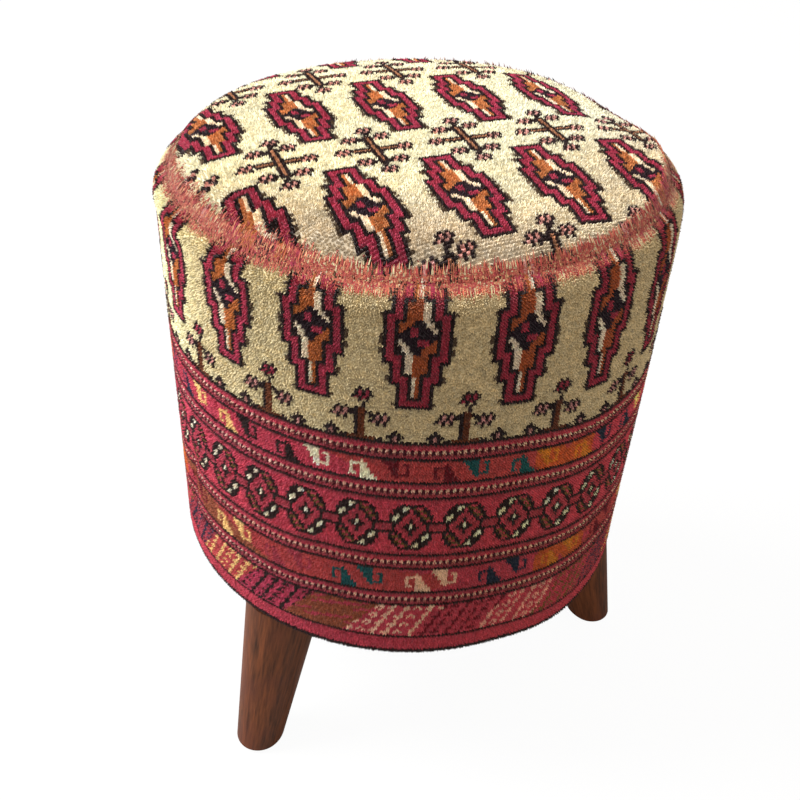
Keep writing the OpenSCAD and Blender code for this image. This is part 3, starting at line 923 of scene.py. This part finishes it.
def show_grain(add, shader, grain, dark, light, rough, relief):
    """Colour between two stops, gloss and relief that follow one grain."""
    ramp = add("ShaderNodeValToRGB", {"Fac": grain})
    for end, (place, colour) in zip(ramp.color_ramp.elements, (dark, light)):
        end.position = place
        end.color = (*colour, 1.0)
    gloss = add("ShaderNodeMapRange", {"Value": grain, "To Min": rough[0], "To Max": rough[1]})
    bump = add("ShaderNodeBump", {"Height": grain, "Strength": relief[0], "Distance": relief[1]})
    feed(shader, {"Base Color": ramp, "Roughness": gloss, "Normal": bump})
    return ramp


def wool_material(name="wool_cut_pile", root=0.55):
    """Cut wool pile: matt, darker between the strands by painted shade towards each strand's root and
    lighter at its tip, with a soft sheen on the tips.
    """
    material, shader, add, place = new_material(name)
    along = add("ShaderNodeAttribute", attribute_name="along").outputs["Fac"]
    # Painted shade: the yarn colour times root at the foot of a strand, rising to 1.15 times at its tip
    painted_root_shade = add("ShaderNodeMapRange", {"Value": along, "To Min": root, "To Max": 1.15})
    # Fibres in a strand, drawn as coarse as they need to show
    fleck = add("ShaderNodeTexNoise", {"Vector": place, "Scale": 420.0, "Detail": 2.0})
    flecked = add("ShaderNodeMapRange", {"Value": fleck, "To Min": 0.82, "To Max": 1.18})
    strength = work_out(add, "MULTIPLY", painted_root_shade, flecked)
    show_yarn(add, shader, strength, 0.85, 0.15)
    feed(shader, {"Sheen Weight": 0.15, "Sheen Roughness": 0.5})
    return material


def knot_material():
    """Knotted wool at the foot of the pile: the same dye in shadow, ribbed by knots 2 mm across."""
    material, shader, add, place = new_material("wool_knots")
    cells = add("ShaderNodeTexVoronoi", {"Vector": place, "Scale": 480.0})
    shade = add("ShaderNodeMapRange", {"Value": cells, "To Min": 0.95, "To Max": 0.7})
    show_yarn(add, shader, shade, 0.95, 0.1)
    ribs = {"Height": cells, "Strength": 0.6, "Distance": 0.0006}
    feed(shader, {"Normal": add("ShaderNodeBump", ribs, invert=True)})
    return material


def walnut_material(name, axis, foot, colours):
    """Walnut-stained hardwood under satin lacquer, grain along the leg."""
    material, shader, add, place = new_material(name)
    turn = axis.rotation_difference(Vector((0.0, 0.0, 1.0))).to_euler()
    straight = add("ShaderNodeMapping", {"Vector": place, "Rotation": turn}, vector_type="POINT")
    shift = add("ShaderNodeVectorMath", {0: straight, 1: foot}, operation="ADD")
    lines = add("ShaderNodeMapping", {"Vector": shift, "Scale": (1.0, 1.0, 0.02)})
    pores = {"Vector": lines, "Scale": 1.0 / colours.grain, "Detail": 5.0, "Roughness": 0.6}
    rings = {"Vector": lines, "Scale": 70.0, "Detail": 3.0, "Distortion": 0.6}
    fine = add("ShaderNodeTexNoise", pores)
    broad = add("ShaderNodeTexNoise", rings)
    grain = add("ShaderNodeMix", {"Factor": 0.45, "A": fine, "B": broad}, data_type="FLOAT")
    ends = ((0.36, colours.dark), (0.62, colours.light))
    stain = show_grain(add, shader, grain, *ends, (0.56, 0.46), (0.25, 0.0006))
    patch = add("ShaderNodeTexNoise", {"Vector": shift, "Scale": 28.0, "Detail": 2.0})
    reach = {"Value": patch, "From Min": 0.45, "From Max": 0.7, "To Max": 0.55}
    red = {"Factor": add("ShaderNodeMapRange", reach), "A": stain, "B": (*colours.red, 1.0)}
    reddened = add("ShaderNodeMix", red, data_type="RGBA")
    feed(shader, {"Base Color": reddened, "Specular IOR Level": 0.18})
    return material


def plain_material(
    name, light, dark, scale, stretch=(1.0, 1.0, 1.0), rough=(0.5, 0.7), metal=0.0, lift=0.3
):
    """A real stuff that varies between two colours at one scale, in grains to a metre."""
    material, shader, add, place = new_material(name)
    sized = add("ShaderNodeMapping", {"Vector": place, "Scale": stretch})
    grains = {"Vector": sized, "Scale": scale, "Detail": 4.0, "Roughness": 0.6}
    noise = add("ShaderNodeTexNoise", grains)
    ends = ((0.35, linear(dark)), (0.65, linear(light)))
    show_grain(add, shader, noise, *ends, rough, (lift, 0.3 / scale))
    feed(shader, {"Metallic": metal})
    return material


def dress(material, *names):
    """Puts a better material on CAD nodes."""
    for name in names:
        for place in NODES[name].material_slots:
            place.material = material


def lay_cloth(name, points, faces, knots, backing, places):
    """Cloth of four-sided faces with a map of its own: first the knots, then the plain backing."""
    mesh = build_mesh(name, points, faces)
    hidden = np.broadcast_to(np.array(backing), (len(faces) - len(knots), 3))
    colours = np.vstack((knots, hidden))
    spread = np.repeat(np.column_stack((colours, np.ones(len(colours)))), 4, axis=0)
    layer = mesh.color_attributes.new("yarn_colour", "FLOAT_COLOR", "CORNER")
    layer.data.foreach_set("color", spread.astype(np.float32).ravel())
    layer = mesh.uv_layers.new(name="OFBake")
    layer.data.foreach_set("uv", np.asarray(places, np.float32).ravel())
    mesh.materials.append(bpy.data.materials.get("wool_knots") or knot_material())
    return ride_root(new_piece(name, mesh))


def middle(grid):
    """Middles of the cells of a grid."""
    return (grid[:-1, :-1] + grid[1:, 1:]) / 2


# Studio
def stand_camera(studio):
    """Camera at the photograph's viewing angle, shifted a little to its frame."""
    data = bpy.data.cameras.new("camera")
    data.sensor_width = 36.0
    data.lens = studio.lens
    data.shift_x = 0.0046
    data.shift_y = -0.002
    data.clip_start = 0.01
    camera = new_piece("camera", data)
    ahead = Vector((0.0, math.cos(studio.tilt), -math.sin(studio.tilt)))
    right = Vector((1.0, 0.0, 0.0))
    up = right.cross(ahead)
    level = math.cos(studio.roll)
    lifted = math.sin(studio.roll)
    turned = (right * level + up * lifted, up * level - right * lifted, -ahead)
    place = Matrix(turned).transposed().to_4x4()
    place.translation = Vector(studio.eye)
    camera.matrix_world = place
    return camera


def lay_floor(studio):
    """Matt white board that the camera sees as nearly pure white, but for the pouf's shadow."""
    far = 6000.0
    corners = ((-far, -far, 0.0), (far, -far, 0.0), (far, far, 0.0), (-far, far, 0.0))
    mesh = build_mesh("floor", corners, [(0, 1, 2, 3)], smooth=False)
    material, shader, add, place = new_material("matt_white_board")
    tone = add("ShaderNodeTexNoise", {"Vector": place, "Scale": 3.0})
    dim = [0.97 * c for c in studio.floor]
    tones = {"Factor": tone, "A": (*studio.floor, 1.0), "B": (*dim, 1.0)}
    board = add("ShaderNodeMix", tones, data_type="RGBA")
    feed(shader, {"Base Color": board, "Roughness": 0.9, "Specular IOR Level": 0.1})
    glow = add("ShaderNodeEmission", {"Color": WHITE, "Strength": 1.06})
    seen = add("ShaderNodeLightPath").outputs["Is Camera Ray"]
    share = work_out(add, "MULTIPLY", seen, 0.9)
    mix = add("ShaderNodeMixShader", {0: share, 1: shader, 2: glow})
    out = next(n for n in material.node_tree.nodes if n.type == "OUTPUT_MATERIAL")
    feed(out, {"Surface": mix})
    mesh.materials.append(material)
    return new_piece("floor", mesh)


def even_world(studio):
    """Even warm light, which the camera, gloss and glass see as a white background."""
    world = bpy.data.worlds.new("studio")
    world.use_nodes = True
    world.node_tree.nodes.clear()
    add = partial(add_node, world.node_tree)
    path = add("ShaderNodeLightPath").outputs
    seen = work_out(add, "MAXIMUM", path["Is Camera Ray"], path["Is Glossy Ray"])
    seen = work_out(add, "MAXIMUM", seen, path["Is Transmission Ray"])
    warm = {"Color": (1.0, 0.92, 0.83, 1.0), "Strength": studio.world}
    even = add("ShaderNodeBackground", warm)
    white = add("ShaderNodeBackground", {"Color": WHITE, "Strength": 1.0})
    mix = add("ShaderNodeMixShader", {0: seen, 1: even, 2: white})
    add("ShaderNodeOutputWorld", {0: mix})
    return world


def hang_lamp(name, power, width, spot):
    """Square soft lamp that looks at the seat of the pouf."""
    data = bpy.data.lights.new(name, "AREA")
    data.energy = power
    data.size = width
    lamp = new_piece(name, data)
    aim = Vector((0.0, 0.0, 0.3)) - Vector(spot)
    place = aim.to_track_quat("-Z", "Y").to_matrix().to_4x4()
    place.translation = Vector(spot)
    lamp.matrix_world = place


# Operators
class POUF_OT_stage(bpy.types.Operator):
    """Makes the camera, the pale floor, the white background and the soft lamps"""

    bl_idname = "pouf.stage"
    bl_label = "Stage"

    def execute(self, context):
        scene = context.scene
        studio = scene.pouf_studio
        scene.view_settings.view_transform = "Standard"
        scene.camera = stand_camera(studio)
        lay_floor(studio)
        scene.world = even_world(studio)
        hang_lamp("key_lamp", studio.key, 1.3, (-1.85, 0.1, 2.1))
        hang_lamp("fill_lamp", studio.fill, 1.6, (1.5, -1.3, 0.9))
        return {"FINISHED"}


class POUF_OT_rug_side(bpy.types.Operator):
    """Makes the knotted side of the cover with its pattern, hem, back seam and pile"""

    bl_idname = "pouf.rug_side"
    bl_label = "Rug side"

    def execute(self, context):
        sizes = context.scene.pouf_rug
        colours = context.scene.pouf_yarns
        count = sizes.columns
        outline = side_outline(MM * sizes.pile)
        rough, _, _, run = walk(outline, 0.5)
        level = float(np.interp(-EDGE_Z, -rough[:, 1], run))
        places, _, _, lengths = walk(outline, MM * sizes.row, level)
        rows = len(places) - 1
        heights = EDGE_Z - (lengths - level)
        edges = SEAM_AT - 360.0 + np.arange(count) * 360.0 / count
        azimuth = np.broadcast_to(edges + 180.0 / count, (rows, count))
        height = np.broadcast_to(((heights[1:] + heights[:-1]) / 2)[:, None], (rows, count))
        yarn = side_pattern(azimuth, height, sizes)
        knots = side_dyes(yarn, azimuth, height, colours)

        # Closed band: the knotted outside, then back up inside the cloth
        inner = walk(INSIDE, 12.0)[0]
        profile = np.vstack((places, inner))
        ring, column = np.meshgrid(np.arange(len(profile)), np.arange(count), indexing="ij")
        points = side_places(edges[column], profile[ring, 0], profile[ring, 1]).reshape(-1, 3)
        here = ring * count
        below = (ring + 1) % len(profile) * count
        beside = (column + 1) % count
        faces = np.stack((here + column, below + column, below + beside, here + beside), axis=-1)
        # The map holds the knots below and the inside of the cloth in a strip above
        low = np.where(ring < rows, ring / rows * 0.94, 0.95 + (ring - rows) * 0.04 / len(inner))
        high = np.where(ring < rows, (ring + 1) / rows * 0.94, low + 0.03 / len(inner))
        left = column / count
        right = (column + 1) / count
        cloth = lay_cloth(
            "rug_side_cloth",
            points,
            faces.reshape(-1, 4),
            knots.reshape(-1, 3),
            colours.backing,
            np.stack((left, low, left, high, right, high, right, low), axis=-1),
        )
        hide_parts("rug_side_panel", "side_wadding")

        # Pile in four pieces, quarter by quarter
        around = np.append(edges, edges[0] + 360.0)[None, :]
        grid = side_places(around, places[:, :1], places[:, 1:2])
        down = unit(grid[1:, :-1] - grid[:-1, :-1])
        across = unit(grid[:-1, 1:] - grid[:-1, :-1])
        laid = (middle(grid), across, down, unit(np.cross(down, across)), knots)
        wool = wool_material()
        for part in range(4):
            chosen = (np.arange(count) * 4 // count) == part
            pick = [a[:, chosen].reshape(-1, 3) for a in laid]
            strands = cut_ends(*pick, yarn[:, chosen].ravel(), sizes, 31 + part)
            stand_strands(
                f"rug_side_pile_{part + 1}", "rug_pile", strands,
                Length=sizes.strand, Width=sizes.strand_width, Seed=41 + part, Wool=wool,
            )
        return {"FINISHED"}


class POUF_OT_rug_top(bpy.types.Operator):
    """Makes the knotted round top of the cover with its pattern and pile"""

    bl_idname = "pouf.rug_top"
    bl_label = "Rug top"

    def execute(self, context):
        sizes = context.scene.pouf_rug
        colours = context.scene.pouf_yarns
        outline, _, _, lengths = walk(crown_outline(MM * sizes.pile), 1.0)
        row = MM * sizes.row
        far = lengths[-1]
        columns = int(1.15 * far / TOP_KNOT) + 2
        rows = int(1.25 * far / row) + 2
        t, n = np.meshgrid(
            TOP_MIDDLE[0] + (np.arange(-columns, columns + 1) + 0.5) * TOP_KNOT,
            TOP_MIDDLE[1] + (np.arange(-rows, rows + 1) + 0.5) * row,
            indexing="ij",
        )
        # The rows and columns of the cloth lie a little askew and wander
        t_laid = t + ASKEW[0] * n + ASKEW[2] + 0.5 * drift(t / 45.0, n / 45.0, 9)
        n_laid = n - ASKEW[1] * t + ASKEW[3] + 0.5 * drift(t / 45.0, n / 45.0, 10)
        grid = crown_places(t_laid, n_laid, outline, lengths, sizes.turn)
        centres = middle(grid)
        yarn = top_pattern(middle(t), middle(n), sizes)
        knots = top_dyes(yarn, middle(t), middle(n), centres[..., 0], centres[..., 1], colours)
        kept = middle(np.hypot(t_laid, n_laid)) < far - 1.5

        number = np.arange(t.size).reshape(t.shape)
        cells = (number[:-1, :-1], number[1:, :-1], number[1:, 1:], number[:-1, 1:])
        used, faces = np.unique(np.stack(cells, axis=-1)[kept], return_inverse=True)
        faces = faces.reshape(-1, 4)
        top = grid.reshape(-1, 3)[used]
        # The underside is drawn in a little and stays above the seam
        under = top * np.array((0.965, 0.965, 1.0))
        lowest = RIM_Z - 2.0 + level_tilt(top[:, 0], top[:, 1])
        under[:, 2] = np.maximum(top[:, 2] - 5.0, lowest)
        # Walls close the edge, whose sides belong to one face only
        sides = np.concatenate([faces[:, (k, (k + 1) % 4)] for k in range(4)])
        keys = np.sort(sides, axis=1)
        _, first, repeats = np.unique(keys, axis=0, return_index=True, return_counts=True)
        rim = sides[first[repeats == 1]]
        back = rim + len(top)
        walls = np.column_stack((rim[:, 1], rim[:, 0], back[:, 0], back[:, 1]))
        shell = np.vstack((faces, faces[:, ::-1] + len(top), walls))
        # The map holds the front large and the back small beside it
        flat = np.column_stack((t_laid.ravel()[used], n_laid.ravel()[used])) / far
        both = np.vstack((0.37 + 0.36 * flat, 0.87 + 0.11 * flat))
        cloth = lay_cloth(
            "rug_top_cloth",
            np.vstack((top, under)),
            shell,
            knots[kept],
            colours.backing,
            both[shell.ravel()],
        )
        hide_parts("rug_top_panel", "seat_wadding", "seat_foam")

        # The pile of the top leans away from the front
        across = unit((grid[1:, :-1] - grid[:-1, :-1])[kept])
        down = unit((grid[:-1, :-1] - grid[:-1, 1:])[kept])
        out = unit(np.cross(down, across))
        laid = (centres[kept], across, -0.5 * down, out, knots[kept])
        # The top's pile gets less painted shade at its roots
        stand_strands(
            "rug_top_pile", "rug_pile", cut_ends(*laid, yarn[kept], sizes, 61),
            Length=sizes.strand, Width=1.2 * sizes.strand_width, Seed=62,
            Wool=wool_material("wool_top_pile", 0.88),
        )
        return {"FINISHED"}


class POUF_OT_rim_fibres(bpy.types.Operator):
    """Combs the shaggy salmon and cream fibres out of the rim seam"""

    bl_idname = "pouf.rim_fibres"
    bl_label = "Rim fibres"

    def execute(self, context):
        seam = context.scene.pouf_seam
        draw = np.random.default_rng(71)
        count = seam.fibres
        azimuth = draw.uniform(0.0, 360.0, count)
        turn = np.radians(azimuth)
        upward = np.array((0.0, 0.0, 1.0))
        outward = np.stack((np.cos(turn), np.sin(turn), 0.0 * turn), axis=-1)
        sideways = np.stack((-np.sin(turn), np.cos(turn), 0.0 * turn), axis=-1)

        def turned(flat):
            """Places or directions on the line, turned round to each fibre."""
            return outward * flat[:, :1] + upward * flat[:, 1:]

        places, normals, along, lengths = walk(SEAM_LINE, 0.25)
        wide = draw.uniform(0.0, 1.0, count) < 0.16
        start = np.where(wide, draw.uniform(5.0, 20.0, count), draw.uniform(8.2, 17.8, count))
        place = (azimuth - SEAM_AT) % 360.0 + SEAM_AT - 360.0
        start = start + 0.9 * drift(azimuth / 9.0, 0.0 * azimuth, 73)
        # The seam is worn wider at the left of the front
        worn = hill(place, -185.0, -150.0, -120.0, -95.0)
        start = start - worn * draw.uniform(0.0, 8.0, count)
        at = np.clip(np.searchsorted(lengths, start), 0, len(lengths) - 1)
        radius, z = places[at].T
        share = np.where(radius < RIM_R, smooth(radius, BEND_R, RIM_R), smooth(z, *TILT_Z))
        roots = seam_tilt(turned(places[at]), share)
        back = (start < 13.0) & (draw.uniform(0.0, 1.0, count) < 0.6)
        forward = turned(along[at]) * np.where(back, -1.0, 1.0)[:, None]
        lifted = turned(normals[at])
        # Round the back the fibres lie flat
        flat = 1.0 - 0.8 * smooth(outward[:, 1:2], 0.1, 0.5)
        aims = forward + lifted * draw.normal(0.16, 0.05, (count, 1)) * flat
        aims = unit(aims + sideways * draw.normal(0.0, 0.09, (count, 1)))
        falls = unit(forward * 0.3 - lifted)
        lengths_of = draw.uniform(0.7, 1.2, count) * (1.0 - 0.22 * worn)

        # Local yarns show through the salmon wool, more so over the medallions
        local = yarn_at_seam(turn, place, radius, z, start, context.scene.pouf_rug)
        palette = np.array((seam.salmon, seam.rose, seam.tip))
        shade = palette[draw.choice(3, count, p=SEAM_SHARES)]
        edge = np.clip(np.abs(start - 12.8) / 9.5, 0.0, 1.0)
        ground = local == YARN["cream"]
        chance = np.where(ground, 0.06 + 0.6 * edge**2, 0.4 + 0.5 * edge)
        chance = np.where(local == YARN["outline"], 0.3 * chance, chance)
        mixed = draw.uniform(0.0, 1.0, count) < chance * (1.0 - 0.6 * worn)
        yarns = yarn_palette(context.scene.pouf_yarns)
        shade = np.where(mixed[:, None], yarns[local], shade)
        # Painted light and shade: the fibres are darker round the left and back and brighter from the
        # front to the right
        shade = shade * (0.84 + 0.42 * hill(place, -150.0, -60.0, 10.0, 60.0))[:, None]
        shade = np.clip(shade * (1.0 + draw.normal(0.0, 0.14, count))[:, None], 0.0, 1.0)
        stand_strands(
            "rim_seam_fibres", "thread", (roots, aims, falls, lengths_of, shade),
            Length=seam.length, Width=seam.width, Bend=0.0012, Uneven=0.15, Seed=72,
            Wool=bpy.data.materials.get("wool_cut_pile") or wool_material(),
        )
        return {"FINISHED"}


class POUF_OT_legs(bpy.types.Operator):
    """Finishes the three turned legs in walnut stain with the grain along each leg"""

    bl_idname = "pouf.legs"
    bl_label = "Legs"

    def execute(self, context):
        for name in ("leg_front_left", "leg_right", "leg_back"):
            low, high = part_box(name)
            points = np.array([v.co[:] for v in NODES[name].data.vertices])
            foot = points[points[:, 2] < low[2] + 0.02].mean(axis=0)
            top = points[points[:, 2] > high[2] - 0.02].mean(axis=0)
            axis = Vector(top - foot).normalized()
            start = Vector((0.3, 0.1, 0.0)) + Vector(foot)
            wood = context.scene.pouf_wood
            dress(walnut_material("walnut_stained_" + name, axis, start, wood), name)
        return {"FINISHED"}


class POUF_OT_carcass(bpy.types.Operator):
    """Finishes the hidden boards, posts and hoop, and the cloth under the base"""

    bl_idname = "pouf.carcass"
    bl_label = "Carcass"

    def execute(self, context):
        ply = plain_material("birch_plywood", "#D9BB8B", "#BE9764", 90.0, (1.0, 0.06, 1.0))
        dress(ply, "top_board", "base_board")
        pine = plain_material("planed_pine", "#E2C292", "#C79A5F", 260.0, (1.0, 1.0, 0.04))
        dress(pine, "post_front", "post_back_right", "post_left")
        dress(plain_material("bent_hardboard", "#8C5E3E", "#6F4529", 900.0), "hoop")
        cloth = ("black_nonwoven_cloth", "#2A2A2E", "#17171A", 1400.0)
        dress(plain_material(*cloth, rough=(0.85, 0.95)), "dust_cover")
        return {"FINISHED"}


class POUF_OT_fixings(bpy.types.Operator):
    """Finishes bolts, nuts, screws, pins, tacks, staples and thread"""

    bl_idname = "pouf.fixings"
    bl_label = "Fixings"

    def execute(self, context):
        steel = partial(plain_material, metal=1.0, lift=0.1)
        zinc = steel("zinc_plated_steel", "#C4C8CC", "#9FA4A9", 500.0, rough=(0.25, 0.45))
        for leg in ("front_left", "right", "back"):
            dress(zinc, "leg_bolt_" + leg, "leg_nut_" + leg)
        dress(zinc, "dust_cover_staples")
        brass = steel("passivated_steel", "#CDAA55", "#A98436", 600.0, rough=(0.3, 0.5))
        dress(brass, "post_screws_top", "post_screws_bottom")
        blued = steel("blued_steel", "#454B54", "#2D3138", 500.0, rough=(0.35, 0.55))
        dress(blued, "hem_tacks", "hoop_pins")
        linen = ("waxed_linen_thread", "#A5514A", "#7A332E", 2500.0)
        dress(plain_material(*linen, rough=(0.6, 0.8)), "rim_seam_stitches", "back_seam_stitches")
        return {"FINISHED"}


class POUF_PT_panel(bpy.types.Panel):
    """Lists the pieces and the sizes and colours that a user may change"""

    bl_idname = "POUF_PT_panel"
    bl_label = "Rug-covered pouf"
    bl_space_type = "VIEW_3D"
    bl_region_type = "UI"
    bl_category = "Pouf"

    def draw(self, context):
        layout = self.layout
        for step in STEPS:
            layout.operator(step.bl_idname)
        for key in GROUPS:
            group = getattr(context.scene, key)
            box = layout.box()
            for name in type(group).__annotations__:
                box.prop(group, name)


STEPS = (
    POUF_OT_stage,
    POUF_OT_rug_side,
    POUF_OT_rug_top,
    POUF_OT_rim_fibres,
    POUF_OT_legs,
    POUF_OT_carcass,
    POUF_OT_fixings,
)
GROUPS = {
    "pouf_yarns": YarnColours,
    "pouf_rug": RugSizes,
    "pouf_seam": SeamSizes,
    "pouf_wood": WoodColours,
    "pouf_studio": StudioSettings,
}


def register():
    for group in GROUPS.values():
        bpy.utils.register_class(group)
    for key, group in GROUPS.items():
        setattr(bpy.types.Scene, key, PointerProperty(type=group))
    for step in STEPS:
        bpy.utils.register_class(step)
    bpy.utils.register_class(POUF_PT_panel)


def unregister():
    bpy.utils.unregister_class(POUF_PT_panel)
    for step in reversed(STEPS):
        bpy.utils.unregister_class(step)
    for key in GROUPS:
        delattr(bpy.types.Scene, key)
    for group in reversed(list(GROUPS.values())):
        bpy.utils.unregister_class(group)


def main():
    register()
    bpy.ops.pouf.stage()
    bpy.ops.pouf.rug_side()
    bpy.ops.pouf.rug_top()
    bpy.ops.pouf.rim_fibres()
    bpy.ops.pouf.legs()
    bpy.ops.pouf.carcass()
    bpy.ops.pouf.fixings()


if __name__ == "__main__":
    main()
